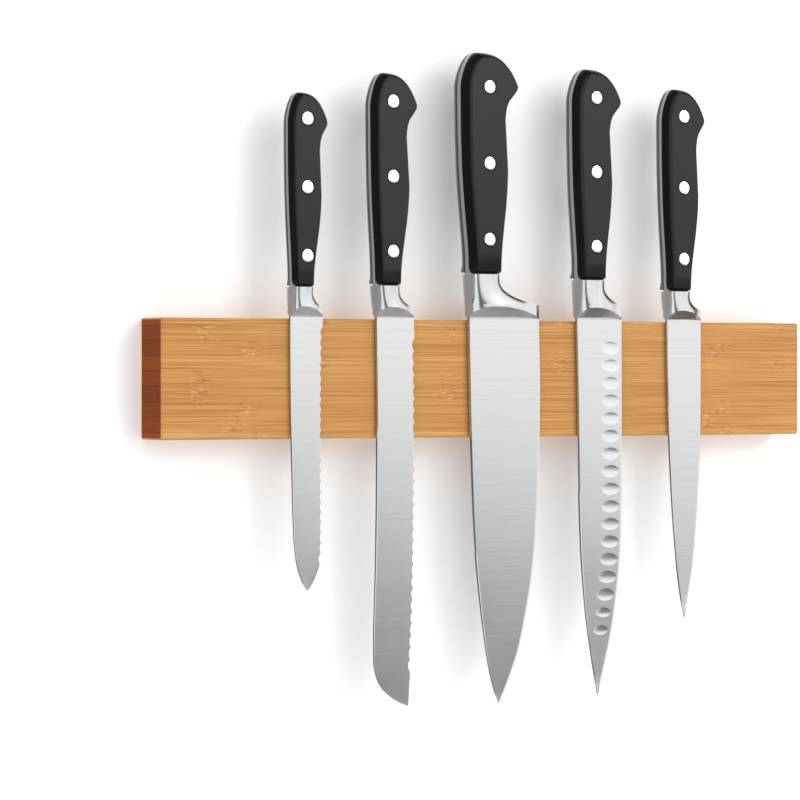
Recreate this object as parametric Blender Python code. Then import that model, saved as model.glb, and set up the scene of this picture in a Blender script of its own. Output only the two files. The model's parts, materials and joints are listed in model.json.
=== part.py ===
"""A magnetic knife strip of bamboo for a kitchen wall, with five forged knives hanging on it.

The origin is the middle of the strip's back face, which lies on the wall. +X runs along the strip,
+Y goes into the wall and +Z is up, so the knives hang in front of the strip, on the -Y side, with
their points down. Each knife is one forging (blade, bolster and full tang), two handle scales and
three rivets. Every size below is in metres.
"""

import math
from dataclasses import dataclass

import bmesh
import bpy
from mathutils import Vector

MM = 0.001

# What keeps touching pieces apart, and what overshoots so that a cut is clean.
GAP = 0.3 * MM
OVERCUT = 2 * MM
WELD = 0.001 * MM

# The bamboo board.
BOARD_LENGTH = 406 * MM
BOARD_HEIGHT = 61 * MM
BOARD_THICKNESS = 20.5 * MM
BOARD_EASE = 0.8 * MM
FRONT_WALL = 3 * MM

# The magnets in their channel, the steel keeper behind them and the panel that closes the back.
MAGNETS = 8
MAGNET_HEIGHT = 20 * MM
MAGNET_SPACE = 1 * MM
MAGNET_EASE = 0.6 * MM
KEEPER_THICKNESS = 1.5 * MM
CHANNEL_END_WALL = 47 * MM
PANEL_THICKNESS = 3 * MM
PANEL_LAP = 9.5 * MM

# The two keyhole hanger plates, let in flush with the back.
PLATE_INSET = 21 * MM
PLATE_WIDTH = 14 * MM
PLATE_HEIGHT = 42 * MM
PLATE_THICKNESS = 1.8 * MM
PLATE_SCREW_INSET = 5 * MM
KEYHOLE_RADIUS = 4.6 * MM
KEYHOLE_SLOT = 4.8 * MM
KEYHOLE_DROP = 5 * MM
KEYHOLE_RISE = 6 * MM
POCKET_WALL = 1.6 * MM
POCKET_DEPTH = 8 * MM

# Countersunk wood screws, the same for the panel and the plates.
SCREW_HEAD_RADIUS = 3.1 * MM
SCREW_RADIUS = 1.3 * MM
SCREW_LENGTH = 11 * MM
SCREW_POINT = 3 * MM
SCREW_SIDES = 8

# What the knives share. Their heels hang just above the board's top edge.
HEEL_ABOVE_BOARD = 1 * MM
CUTTING_EDGE = 0.3 * MM
POINT_WIDTH = 0.7 * MM
POINT_THICKNESS = 0.8 * MM
RIVET_HEAD_RADIUS = 3.4 * MM
RIVET_HEAD_DEPTH = 2.2 * MM
RIVET_RADIUS = 2.4 * MM
RIVET_SIDES = 12
BLADE_STEPS = 15
SHOULDER_RISE = 0.1 * MM
HANDLE_STEPS = 10
SCALE_ROUNDING_STEPS = 2
SCALE_CORNER = 3.5 * MM

# The handle's sides, as (share of the handle's length, share of the way from one width to the next).
SPINE_SIDE = [
    (0, 0), (0.1, 0.07), (0.2, 0.27), (0.3, 0.5), (0.4, 0.7), (0.5, 0.84), (0.65, 0.96), (0.8, 1),
]
BELLY_SWELL = [(0, 0), (0.1, 0.12), (0.2, 0.4), (0.3, 0.72), (0.4, 0.94), (0.47, 1)]
BEAK_CURVE = [(0, 0), (0.35, 0.12), (0.55, 0.34), (0.72, 0.7), (0.85, 0.92), (1, 1)]
SWELL_AT = 0.47
WAIST_AT = 0.7
BEAK_AT = 0.85

# The crown's top, as a share of the back's width, and the two powers of its curve on either side.
CROWN = 0.27
CROWN_BACK = (1.35, 0.5)
CROWN_BEAK = (1.1, 0.36)

# How the bolster swells out of the blade. Heights are shares of its own height, counted up from the
# heel line, and thicknesses are shares of its full thickness.
BELLY_DOWNS = (1, 0.93, 0.85, 0.75, 0.62, 0.45, 0.25, 0)
BELLY_POWER = 3.1
CORNER_START = 0.4
SCOOP_TOP = 0.8
SPINE_SWELL_TOP = 0.75
SPINE_SWELL_POWER = 1.5
SPINE_SHARE = 0.5
BELLY_SHARE = 0.45
BELLY_STEADY = 0.28
HEEL_POWER = 0.7


@dataclass
class Knife:
    """One knife's own sizes. Widths of the handle are counted from the line of its rivets."""

    name: str
    x: float
    blade_length: float
    heel_width: float
    heel_side: float
    spine_thickness: float
    bolster_height: float
    bolster_thickness: float
    heel_corner: float
    handle_length: float
    back: float
    ferrule_back: float
    ferrule_belly: float
    swell: float
    waist: float
    beak: float
    tang: float
    scale_thickness: float
    scale_rounding: float
    scale_slope: float
    spine: list
    edge: list
    rivets: tuple = (0.863, 0.511, 0.159)
    teeth: float = 0
    tooth_depth: float = 0
    teeth_from: float = 0
    teeth_to: float = 0


# The blade's spine and edge are (share of the blade's length, share of its heel width from the spine side).
KNIVES = [
    Knife(
        name="tomato", x=-121.5 * MM,
        blade_length=139.3 * MM, heel_width=19.3 * MM, heel_side=7.3 * MM, spine_thickness=2.0 * MM,
        bolster_height=15 * MM, bolster_thickness=10.2 * MM, heel_corner=4.6 * MM,
        handle_length=98.8 * MM, back=9.1 * MM, ferrule_back=6.7 * MM, ferrule_belly=5.3 * MM,
        swell=10.0 * MM, waist=9.0 * MM, beak=13.6 * MM,
        tang=2.0 * MM, scale_thickness=4.8 * MM, scale_rounding=2.2 * MM, scale_slope=8 * MM,
        spine=[(0, 0), (0.23, 0.01), (0.55, 0.065), (0.8, 0.124), (0.91, 0.228), (0.98, 0.43), (1, 0.56)],
        edge=[(0, 1.02), (0.1, 1.005), (0.5, 0.99), (0.8, 0.99), (0.88, 0.96), (0.945, 0.81), (1, 0.56)],
        teeth=5.2 * MM, tooth_depth=0.7 * MM, teeth_from=0.08, teeth_to=0.87,
    ),
    Knife(
        name="bread", x=-70.2 * MM,
        blade_length=200.5 * MM, heel_width=23.7 * MM, heel_side=6.8 * MM, spine_thickness=2.2 * MM,
        bolster_height=16.3 * MM, bolster_thickness=11.6 * MM, heel_corner=4.9 * MM,
        handle_length=109.5 * MM, back=10.7 * MM, ferrule_back=7.7 * MM, ferrule_belly=6.5 * MM,
        swell=11.9 * MM, waist=10.2 * MM, beak=16.7 * MM,
        tang=2.2 * MM, scale_thickness=5.8 * MM, scale_rounding=2.6 * MM, scale_slope=7 * MM,
        spine=[
            (0, 0), (0.3, 0.034), (0.6, 0.009), (0.88, -0.05),
            (0.93, 0.05), (0.96, 0.22), (0.985, 0.53), (1, 0.82),
        ],
        edge=[(0, 0.996), (0.2, 1.03), (0.5, 1.02), (0.76, 0.97), (0.92, 0.89), (1, 0.85)],
        teeth=6.2 * MM, tooth_depth=0.9 * MM, teeth_from=0.08, teeth_to=0.91,
    ),
    Knife(
        name="chef", x=-11.1 * MM,
        blade_length=201.5 * MM, heel_width=46 * MM, heel_side=8.6 * MM, spine_thickness=2.8 * MM,
        bolster_height=23 * MM, bolster_thickness=13.6 * MM, heel_corner=7.3 * MM,
        handle_length=115.8 * MM, back=14.1 * MM, ferrule_back=8.9 * MM, ferrule_belly=9.6 * MM,
        swell=14.0 * MM, waist=12.4 * MM, beak=20.6 * MM,
        tang=2.9 * MM, scale_thickness=6.8 * MM, scale_rounding=3.0 * MM, scale_slope=8.5 * MM,
        spine=[(0, 0), (0.3, 0.033), (0.6, 0.102), (0.85, 0.241), (0.95, 0.337), (1, 0.425)],
        edge=[(0, 0.99), (0.2, 1.006), (0.45, 0.976), (0.65, 0.907), (0.85, 0.724), (0.95, 0.55), (1, 0.435)],
        rivets=(0.842, 0.498, 0.155),
    ),
    Knife(
        name="carving", x=58.7 * MM,
        blade_length=200 * MM, heel_width=30.3 * MM, heel_side=8.7 * MM, spine_thickness=2.4 * MM,
        bolster_height=20.8 * MM, bolster_thickness=12.4 * MM, heel_corner=7.5 * MM,
        handle_length=112.2 * MM, back=12.2 * MM, ferrule_back=8.5 * MM, ferrule_belly=8.1 * MM,
        swell=12.5 * MM, waist=10.9 * MM, beak=18.4 * MM,
        tang=2.6 * MM, scale_thickness=6.2 * MM, scale_rounding=3.1 * MM, scale_slope=7.7 * MM,
        spine=[(0, 0), (0.16, 0.03), (0.56, 0.092), (0.76, 0.195), (0.9, 0.335), (1, 0.47)],
        edge=[(0, 1), (0.3, 1.003), (0.6, 0.985), (0.76, 0.868), (0.86, 0.736), (1, 0.485)],
    ),
    Knife(
        name="utility", x=117.6 * MM,
        blade_length=160.8 * MM, heel_width=23.6 * MM, heel_side=7.4 * MM, spine_thickness=2.2 * MM,
        bolster_height=15.5 * MM, bolster_thickness=11.6 * MM, heel_corner=5.0 * MM,
        handle_length=109.2 * MM, back=11.2 * MM, ferrule_back=7.9 * MM, ferrule_belly=6.7 * MM,
        swell=11.8 * MM, waist=10.4 * MM, beak=16.0 * MM,
        tang=2.2 * MM, scale_thickness=5.8 * MM, scale_rounding=2.9 * MM, scale_slope=7 * MM,
        spine=[(0, 0), (0.2, 0.025), (0.57, 0.148), (0.82, 0.297), (0.93, 0.41), (1, 0.525)],
        edge=[(0, 1.005), (0.38, 0.99), (0.57, 0.94), (0.82, 0.78), (0.94, 0.62), (1, 0.54)],
    ),
]

# What follows from the sizes above.
HEEL_LINE = BOARD_HEIGHT / 2 + HEEL_ABOVE_BOARD
CHANNEL_LENGTH = BOARD_LENGTH - 2 * CHANNEL_END_WALL
CHANNEL_HEIGHT = MAGNET_HEIGHT + 2 * GAP
PANEL_LENGTH = CHANNEL_LENGTH + 2 * PANEL_LAP
PANEL_HEIGHT = CHANNEL_HEIGHT + 2 * PANEL_LAP
PANEL_SCREW_X = (CHANNEL_LENGTH + PANEL_LAP) / 2
PANEL_SCREW_RISE = (CHANNEL_HEIGHT + PANEL_LAP) / 2
REBATE_DEPTH = PANEL_THICKNESS + GAP
CHANNEL_DEPTH = BOARD_THICKNESS - FRONT_WALL
KEEPER_BACK = REBATE_DEPTH
MAGNET_BACK = KEEPER_BACK + KEEPER_THICKNESS + GAP
MAGNET_THICKNESS = CHANNEL_DEPTH - MAGNET_BACK - GAP
MAGNET_LENGTH = (CHANNEL_LENGTH - 2 * GAP - (MAGNETS - 1) * MAGNET_SPACE) / MAGNETS
PLATE_X = BOARD_LENGTH / 2 - PLATE_INSET
PLATE_SCREW_RISE = PLATE_HEIGHT / 2 - PLATE_SCREW_INSET
POCKET_HALF_WIDTH = PLATE_WIDTH / 2 - POCKET_WALL
POCKET_HALF_HEIGHT = PLATE_SCREW_RISE - SCREW_HEAD_RADIUS - POCKET_WALL


def clear_scene():
    for obj in list(bpy.data.objects):
        bpy.data.objects.remove(obj, do_unlink=True)


def material(name, colour, roughness, metallic=0.0):
    """A plain Principled material, made once for each name."""
    found = bpy.data.materials.get(name)
    if found:
        return found
    made = bpy.data.materials.new(name)
    made.use_nodes = True
    shader = made.node_tree.nodes["Principled BSDF"]
    shader.inputs["Base Color"].default_value = (*colour, 1)
    shader.inputs["Roughness"].default_value = roughness
    shader.inputs["Metallic"].default_value = metallic
    made.diffuse_color = (*colour, 1)
    return made


def bamboo():
    return material("bamboo", (0.62, 0.38, 0.17), 0.55)


def blade_steel():
    return material("blade_steel", (0.75, 0.75, 0.76), 0.28, 1)


def rivet_steel():
    return material("rivet_steel", (0.86, 0.86, 0.87), 0.2, 1)


def handle_black():
    return material("handle_black", (0.02, 0.02, 0.021), 0.42)


def magnet_plating():
    return material("magnet_plating", (0.6, 0.59, 0.57), 0.25, 1)


def keeper_steel():
    return material("keeper_steel", (0.45, 0.45, 0.46), 0.4, 1)


def zinc_plate():
    return material("zinc_plate", (0.66, 0.67, 0.69), 0.35, 1)


def screw_steel():
    return material("screw_steel", (0.7, 0.7, 0.7), 0.3, 1)


def place(name, shape, finish, parent=None, round_angle=None):
    """Puts a bmesh into the scene as one named object, shaded smooth below the given angle."""
    bmesh.ops.recalc_face_normals(shape, faces=shape.faces)
    mesh = bpy.data.meshes.new(name)
    shape.to_mesh(mesh)
    shape.free()
    if finish:
        mesh.materials.append(finish)
    if round_angle:
        mesh.shade_smooth()
        mesh.set_sharp_from_angle(angle=round_angle)
    obj = bpy.data.objects.new(name, mesh)
    bpy.context.collection.objects.link(obj)
    if parent:
        obj.parent = parent
        obj.location = -parent.location
    return obj


def cutter(name, shape, parent=None):
    """A hidden solid that Booleans subtract."""
    obj = place(name, shape, None, parent)
    obj.hide_render = True
    obj.display_type = "WIRE"
    return obj


def cut(obj, tool):
    modifier = obj.modifiers.new("cut_" + tool.name, "BOOLEAN")
    modifier.operation = "DIFFERENCE"
    modifier.solver = "EXACT"
    modifier.object = tool


def block(low, high, ease=0.0):
    """A box between two corners, with its edges bevelled by ease."""
    shape = bmesh.new()
    bmesh.ops.create_cube(shape, size=1)
    low, high = Vector(low), Vector(high)
    bmesh.ops.scale(shape, vec=high - low, verts=shape.verts)
    bmesh.ops.translate(shape, vec=(low + high) / 2, verts=shape.verts)
    if ease:
        bmesh.ops.bevel(shape, geom=shape.edges[:], offset=ease, segments=1, affect="EDGES")
    return shape


def skin(shape, rings):
    """Closes a row of rings of points, each with as many points as the next, into one solid."""
    loops = [[shape.verts.new(point) for point in ring] for ring in rings]
    for first, second in zip(loops, loops[1:]):
        for i, (a, c) in enumerate(zip(first, second)):
            b, d = first[i - 1], second[i - 1]
            shape.faces.new((a, b, d, c))
    shape.faces.new(loops[0][::-1])
    shape.faces.new(loops[-1])


def turned(shape, profile, x, z, sides):
    """A solid of revolution about a line along Y through (x, z), from (y, radius) points."""
    angles = [2 * math.pi * (i + 0.5) / sides for i in range(sides)]
    rings = [
        [Vector((x + radius * math.cos(a), y, z + radius * math.sin(a))) for a in angles]
        for y, radius in profile
    ]
    skin(shape, rings)


def through(points):
    """A smooth curve through (position, value) points, as a function of the position."""
    slopes = []
    for i in range(len(points)):
        before, after = points[max(i - 1, 0)], points[min(i + 1, len(points) - 1)]
        slopes.append((after[1] - before[1]) / (after[0] - before[0]))

    def value(at):
        at = min(max(at, points[0][0]), points[-1][0])
        i = max(k for k in range(len(points) - 1) if points[k][0] <= at)
        (x0, y0), (x1, y1) = points[i], points[i + 1]
        t = (at - x0) / (x1 - x0)
        rise = (x1 - x0) * (slopes[i] * t * (1 - t) ** 2 - slopes[i + 1] * t**2 * (1 - t))
        return y0 + (y1 - y0) * t * t * (3 - 2 * t) + rise

    return value


# ---------------------------------------------------------------- the strip


def board(plates, panel_screws):
    """The bamboo board, routed from the back for the magnets, the panel, the plates and the screws."""
    half = BOARD_LENGTH / 2
    shape = block((-half, -BOARD_THICKNESS, -BOARD_HEIGHT / 2), (half, 0, BOARD_HEIGHT / 2), BOARD_EASE)
    obj = place("bamboo_board", shape, bamboo())
    rebate_x, rebate_z = PANEL_LENGTH / 2 + GAP, PANEL_HEIGHT / 2 + GAP
    channel_x, channel_z = CHANNEL_LENGTH / 2, CHANNEL_HEIGHT / 2
    rebate = block((-rebate_x, -REBATE_DEPTH, -rebate_z), (rebate_x, OVERCUT, rebate_z))
    channel = block((-channel_x, -CHANNEL_DEPTH, -channel_z), (channel_x, OVERCUT, channel_z))
    cut(obj, cutter("cut_panel_rebate", rebate))
    cut(obj, cutter("cut_magnet_channel", channel))
    for side, x in plates:
        wide, high = PLATE_WIDTH / 2 + GAP, PLATE_HEIGHT / 2 + GAP
        seat = block((x - wide, -PLATE_THICKNESS - GAP, -high), (x + wide, OVERCUT, high))
        cut(obj, cutter("cut_plate_seat_" + side, seat))
        wide, high = POCKET_HALF_WIDTH, POCKET_HALF_HEIGHT
        deep = PLATE_THICKNESS + GAP + POCKET_DEPTH
        pocket = block((x - wide, -deep, -high), (x + wide, OVERCUT, high))
        cut(obj, cutter("cut_screw_pocket_" + side, pocket))
    places = panel_screws + [(x, z) for _, x in plates for z in (-PLATE_SCREW_RISE, PLATE_SCREW_RISE)]
    pilots = bmesh.new()
    for x, z in places:
        turned(pilots, screw_profile(GAP), x, z, SCREW_SIDES)
    cut(obj, cutter("cut_board_pilots", pilots))
    return obj


def screw_profile(grown=0.0):
    """A countersunk screw's outline from its head to its point; grown makes the hole that it fills."""
    head = SCREW_HEAD_RADIUS - SCREW_RADIUS
    top = OVERCUT if grown else 0.0
    return [
        (top, SCREW_HEAD_RADIUS + grown),
        (0 if grown else -0.3 * MM, SCREW_HEAD_RADIUS + grown),
        (-head - 0.3 * MM, SCREW_RADIUS + grown),
        (SCREW_POINT - SCREW_LENGTH, SCREW_RADIUS + grown),
        (-SCREW_LENGTH - grown, 0.3 * MM + grown),
    ]


def wood_screw(name, x, z):
    shape = bmesh.new()
    turned(shape, screw_profile(), x, z, SCREW_SIDES)
    return place(name, shape, screw_steel(), round_angle=math.radians(40))


def back_panel(panel_screws):
    half_x, half_z = PANEL_LENGTH / 2, PANEL_HEIGHT / 2
    shape = block((-half_x, -PANEL_THICKNESS, -half_z), (half_x, 0, half_z))
    obj = place("back_panel", shape, bamboo())
    holes = bmesh.new()
    for x, z in panel_screws:
        turned(holes, screw_profile(GAP), x, z, SCREW_SIDES)
    cut(obj, cutter("cut_panel_holes", holes))
    return obj


def steel_keeper():
    """The flat bar behind the magnets, which turns their pull towards the front."""
    half_x, half_z = CHANNEL_LENGTH / 2 - GAP, MAGNET_HEIGHT / 2
    low = (-half_x, -KEEPER_BACK - KEEPER_THICKNESS, -half_z)
    return place("steel_keeper", block(low, (half_x, -KEEPER_BACK, half_z)), keeper_steel())


def magnets():
    front, half_z = MAGNET_BACK + MAGNET_THICKNESS, MAGNET_HEIGHT / 2
    for i in range(MAGNETS):
        x = -CHANNEL_LENGTH / 2 + GAP + i * (MAGNET_LENGTH + MAGNET_SPACE)
        shape = block((x, -front, -half_z), (x + MAGNET_LENGTH, -MAGNET_BACK, half_z), MAGNET_EASE)
        place(f"magnet_{i + 1}", shape, magnet_plating())


def keyhole(x):
    """The plate's cut-out: a round hole for a wall screw's head and a slot above it for its neck."""
    half = KEYHOLE_SLOT / 2
    turn = math.asin(half / KEYHOLE_RADIUS)
    hole = [math.pi / 2 + turn + i * (2 * math.pi - 2 * turn) / 14 for i in range(15)]
    rim = [(KEYHOLE_RADIUS * math.cos(a), KEYHOLE_RADIUS * math.sin(a) - KEYHOLE_DROP) for a in hole]
    top = [i * math.pi / 6 for i in range(7)]
    rim += [(half * math.cos(a), half * math.sin(a) + KEYHOLE_RISE) for a in top]
    shape = bmesh.new()
    skin(shape, [[Vector((x + u, y, z)) for u, z in rim] for y in (OVERCUT, -OVERCUT - PLATE_THICKNESS)])
    return shape


def hanger_plate(side, x):
    wide, high = PLATE_WIDTH / 2, PLATE_HEIGHT / 2
    shape = block((x - wide, -PLATE_THICKNESS, -high), (x + wide, 0, high))
    obj = place("hanger_plate_" + side, shape, zinc_plate())
    cut(obj, cutter("cut_keyhole_" + side, keyhole(x)))
    holes = bmesh.new()
    for z in (-PLATE_SCREW_RISE, PLATE_SCREW_RISE):
        turned(holes, screw_profile(GAP), x, z, SCREW_SIDES)
    cut(obj, cutter("cut_plate_holes_" + side, holes))
    return obj


def strip():
    plates = [("left", -PLATE_X), ("right", PLATE_X)]
    corners = [(across, up) for across in (-1, 1) for up in (1, -1)]
    panel_screws = [(across * PANEL_SCREW_X, up * PANEL_SCREW_RISE) for across, up in corners]
    board(plates, panel_screws)
    back_panel(panel_screws)
    steel_keeper()
    magnets()
    for i, (x, z) in enumerate(panel_screws):
        wood_screw(f"panel_screw_{i + 1}", x, z)
    for side, x in plates:
        hanger_plate(side, x)
        wood_screw(f"hanger_screw_{side}_upper", x, PLATE_SCREW_RISE)
        wood_screw(f"hanger_screw_{side}_lower", x, -PLATE_SCREW_RISE)


# ---------------------------------------------------------------- a knife


def middle_plane(knife):
    """The y of the knife's middle plane, with its blade against the board."""
    return -(BOARD_THICKNESS + GAP + knife.spine_thickness / 2)


def handle_bottom(knife):
    return HEEL_LINE + knife.bolster_height


def handle_sides(knife):
    """Two functions of the share of the handle's length: x of its spine side and of its belly side."""
    top = -CROWN * knife.back
    spine = through(SPINE_SIDE)
    swell = through(BELLY_SWELL)
    beak = through(BEAK_CURVE)
    middle = ((SWELL_AT + WAIST_AT) / 2, (knife.swell + knife.waist) / 2)
    waist = through([(SWELL_AT, knife.swell), middle, (WAIST_AT, knife.waist)])

    def round_end(share, width, powers):
        """A rounded end from the beak's height up to the crown."""
        rise = (share - BEAK_AT) / (1 - BEAK_AT)
        return top + (width - top) * (1 - rise ** powers[0]) ** powers[1]

    def spine_side(share):
        if share > BEAK_AT:
            return knife.x + round_end(share, -knife.back, CROWN_BACK)
        return knife.x - knife.ferrule_back - (knife.back - knife.ferrule_back) * spine(share)

    def belly_side(share):
        if share > BEAK_AT:
            return knife.x + round_end(share, knife.beak, CROWN_BEAK)
        if share > WAIST_AT:
            grown = beak((share - WAIST_AT) / (BEAK_AT - WAIST_AT))
            return knife.x + knife.waist + (knife.beak - knife.waist) * grown
        if share > SWELL_AT:
            return knife.x + waist(share)
        return knife.x + knife.ferrule_belly + (knife.swell - knife.ferrule_belly) * swell(share)

    return spine_side, belly_side


def handle_shares():
    """Heights up the handle, even below the beak and crowded towards the crown."""
    lower = [BEAK_AT * i / HANDLE_STEPS for i in range(HANDLE_STEPS + 1)]
    turns = [math.radians(angle) for angle in (25, 45, 62, 76, 86)]
    return lower + [BEAK_AT + (1 - BEAK_AT) * math.sin(turn) for turn in turns]


def section(spine_x, edge_x, z, middle, halves, inset):
    """Eight points round a level slice of the forging: spine, two shoulders, edge, and back again."""
    inset = min(inset, (edge_x - spine_x) / 3)
    xs = (spine_x, spine_x + inset, edge_x - inset, edge_x)
    near = [Vector((x, middle - half, z)) for x, half in zip(xs, halves)]
    far = [Vector((x, middle + half, z)) for x, half in zip(xs, halves)]
    return near + far[::-1]


def wedge(spine_half, edge_half, width, inset):
    """Half thicknesses of the blade's four section points, on a flat grind from spine to edge."""
    inset = min(inset, width / 3)
    shares = (0, inset / width, 1 - inset / width, 1)
    return [spine_half + (edge_half - spine_half) * share for share in shares]


def blade_sections(knife):
    """From the point up to the heel, with a valley between each two teeth of a serrated edge."""
    spine, edge = through(knife.spine), through(knife.edge)
    stations = {1 - (1 - i / BLADE_STEPS) ** 1.6: 0.0 for i in range(BLADE_STEPS)}
    stations[1.0] = 0.0
    if knife.teeth:
        count = round((knife.teeth_to - knife.teeth_from) * knife.blade_length / knife.teeth)
        step = (knife.teeth_to - knife.teeth_from) / count
        stations = {s: 0.0 for s in stations if not knife.teeth_from <= s <= knife.teeth_to}
        for i in range(count + 1):
            stations[knife.teeth_from + i * step] = 0.0
            if i < count:
                stations[knife.teeth_from + (i + 0.5) * step] = knife.tooth_depth
    for share in sorted(stations, reverse=True):
        spine_x = knife.x - knife.heel_side + knife.heel_width * spine(share)
        edge_x = knife.x - knife.heel_side + knife.heel_width * edge(share) - stations[share]
        edge_x = max(edge_x, spine_x + POINT_WIDTH)
        half = (knife.spine_thickness - (knife.spine_thickness - POINT_THICKNESS) * share**2) / 2
        halves = wedge(half, CUTTING_EDGE / 2, edge_x - spine_x, knife.scale_rounding)
        z = HEEL_LINE - share * knife.blade_length
        yield section(spine_x, edge_x, z, middle_plane(knife), halves, knife.scale_rounding)


def bolster_sections(knife):
    """From the heel line up to the handle: a concave scoop out of the blade, and a curved-in belly."""
    spine_x = knife.x - knife.heel_side
    heel_x = spine_x + knife.heel_width * knife.edge[0][1]
    ferrule_spine, ferrule_belly = knife.x - knife.ferrule_back, knife.x + knife.ferrule_belly
    full = knife.bolster_thickness / 2
    drop = knife.bolster_height - knife.heel_corner
    places = [(knife.heel_corner * CORNER_START, 1)]
    places += [(knife.bolster_height - drop * down, down ** BELLY_POWER) for down in BELLY_DOWNS]
    for height, out in places:
        belly_x = ferrule_belly + (heel_x - ferrule_belly) * out
        share = height / knife.bolster_height
        left = spine_x + (ferrule_spine - spine_x) * share
        scoop = min(share / SCOOP_TOP, 1) ** 2
        swell = min(share / SPINE_SWELL_TOP, 1) ** SPINE_SWELL_POWER
        belly = BELLY_STEADY * share + (1 - BELLY_STEADY) * (1 - out) ** HEEL_POWER * scoop
        thin = wedge(knife.spine_thickness / 2, CUTTING_EDGE / 2, belly_x - left, knife.scale_rounding)
        spine_half = thin[0] + (SPINE_SHARE * full - thin[0]) * swell
        near_spine = thin[1] + (full - thin[1]) * scoop
        near_belly = thin[2] + (full - thin[2]) * belly
        belly_half = thin[3] + (BELLY_SHARE * full - thin[3]) * belly
        halves = (spine_half, near_spine, near_belly, belly_half)
        z = HEEL_LINE + height
        yield section(left, belly_x, z, middle_plane(knife), halves, knife.scale_rounding)


def tang_sections(knife):
    """From the bolster's shoulder to the crown, as wide as the handle and as thick as the tang."""
    spine_side, belly_side = handle_sides(knife)
    halves = [knife.tang / 2] * 4
    for share in handle_shares():
        left, right = spine_side(share), belly_side(share)
        z = handle_bottom(knife) + max(share * knife.handle_length, SHOULDER_RISE)
        yield section(left, right, z, middle_plane(knife), halves, knife.scale_rounding)


def rivet_profile(knife, grown=0.0):
    """A rivet's outline along Y: a head, the shank and the other head."""
    middle, outer = middle_plane(knife), knife.tang / 2 + knife.scale_thickness
    end = outer + (OVERCUT if grown else 0)
    under = outer - RIVET_HEAD_DEPTH - grown
    head, shank = RIVET_HEAD_RADIUS + grown, RIVET_RADIUS + grown
    half = [(end, head), (under, head), (under, shank)]
    return [(middle - y, r) for y, r in half] + [(middle + y, r) for y, r in half[::-1]]


def rivet_places(knife):
    heights = [handle_bottom(knife) + share * knife.handle_length for share in knife.rivets]
    return dict(zip(("top", "middle", "bottom"), heights))


def forged_blade(knife, carrier, holes):
    """Blade, bolster and tang in one piece, drilled for the rivets."""
    shape = bmesh.new()
    sections = [*blade_sections(knife), *bolster_sections(knife), *tang_sections(knife)]
    skin(shape, sections)
    obj = place(knife.name + "_blade", shape, blade_steel(), carrier, math.radians(25))
    cut(obj, holes)
    return obj


def scale_outline(knife):
    """The scale's outline as (x, z) points, up the spine side and down the belly side."""
    spine_side, belly_side = handle_sides(knife)
    low = handle_bottom(knife) + GAP
    sides = []
    for share in handle_shares():
        z = max(handle_bottom(knife) + share * knife.handle_length, low)
        sides.append((spine_side(share), belly_side(share), z))
    corner = [math.radians(angle) for angle in (90, 60, 30)]
    points = [
        (spine_side(0) + SCALE_CORNER * (1 - math.cos(turn)), low + SCALE_CORNER * (1 - math.sin(turn)))
        for turn in corner
    ]
    points += [(left, z) for left, _, z in sides[1:]]
    return points + [(right, z) for _, right, z in sides[::-1]]


def inward(points, distance):
    """The outline moved in by a distance, each corner along the middle of its two sides' normals."""
    moved = []
    for i, here in enumerate(points):
        before, after = Vector(points[i - 1]), Vector(points[(i + 1) % len(points)])
        first = (Vector(here) - before).normalized()
        second = (after - Vector(here)).normalized()
        normal = Vector((first.y + second.y, -first.x - second.x)).normalized()
        spread = max(normal.dot(Vector((second.y, -second.x))), 0.6)
        moved.append(Vector(here) + normal * distance / spread)
    return moved


def scale(knife, side, carrier, holes):
    """One handle slab: flat inside, rounded outside, and sloping down to the bolster at its lower end."""
    away = -1 if side == "front" else 1
    middle, outline = middle_plane(knife), scale_outline(knife)
    floor = knife.tang / 2 + GAP
    depth = knife.tang / 2 + knife.scale_thickness - floor
    rings = []
    for i in range(SCALE_ROUNDING_STEPS + 1):
        turn = math.radians(90) * i / SCALE_ROUNDING_STEPS
        ring = inward(outline, knife.scale_rounding * (1 - math.cos(turn)))
        y = middle + away * (floor + depth * math.sin(turn))
        rings.append([Vector((x, y, z)) for x, z in ring])
    shape = bmesh.new()
    skin(shape, rings)
    low = handle_bottom(knife)
    start = Vector((0, middle + away * knife.bolster_thickness / 2, low))
    end = Vector((0, middle + away * (floor + depth), low + knife.scale_slope))
    normal = Vector((1, 0, 0)).cross(end - start) * -away
    geometry = shape.verts[:] + shape.edges[:] + shape.faces[:]
    bmesh.ops.bisect_plane(
        shape, geom=geometry, plane_co=start, plane_no=normal, clear_outer=True, dist=WELD
    )
    bmesh.ops.holes_fill(shape, edges=[edge for edge in shape.edges if edge.is_boundary])
    obj = place(f"{knife.name}_scale_{side}", shape, handle_black(), carrier, math.radians(35))
    cut(obj, holes)
    return obj


def knife_on_strip(knife):
    """All of one knife, on an empty at the point where its blade leans on the board."""
    carrier = bpy.data.objects.new(knife.name + "_knife", None)
    carrier.location = (knife.x, -BOARD_THICKNESS, 0)
    bpy.context.collection.objects.link(carrier)
    holes = bmesh.new()
    for z in rivet_places(knife).values():
        turned(holes, rivet_profile(knife, GAP), knife.x, z, RIVET_SIDES)
    holes = cutter("cut_rivet_holes_" + knife.name, holes, carrier)
    forged_blade(knife, carrier, holes)
    scale(knife, "front", carrier, holes)
    scale(knife, "back", carrier, holes)
    for name, z in rivet_places(knife).items():
        shape = bmesh.new()
        turned(shape, rivet_profile(knife), knife.x, z, RIVET_SIDES)
        place(f"{knife.name}_rivet_{name}", shape, rivet_steel(), carrier, math.radians(40))


def main():
    clear_scene()
    strip()
    for knife in KNIVES:
        knife_on_strip(knife)


main()
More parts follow.
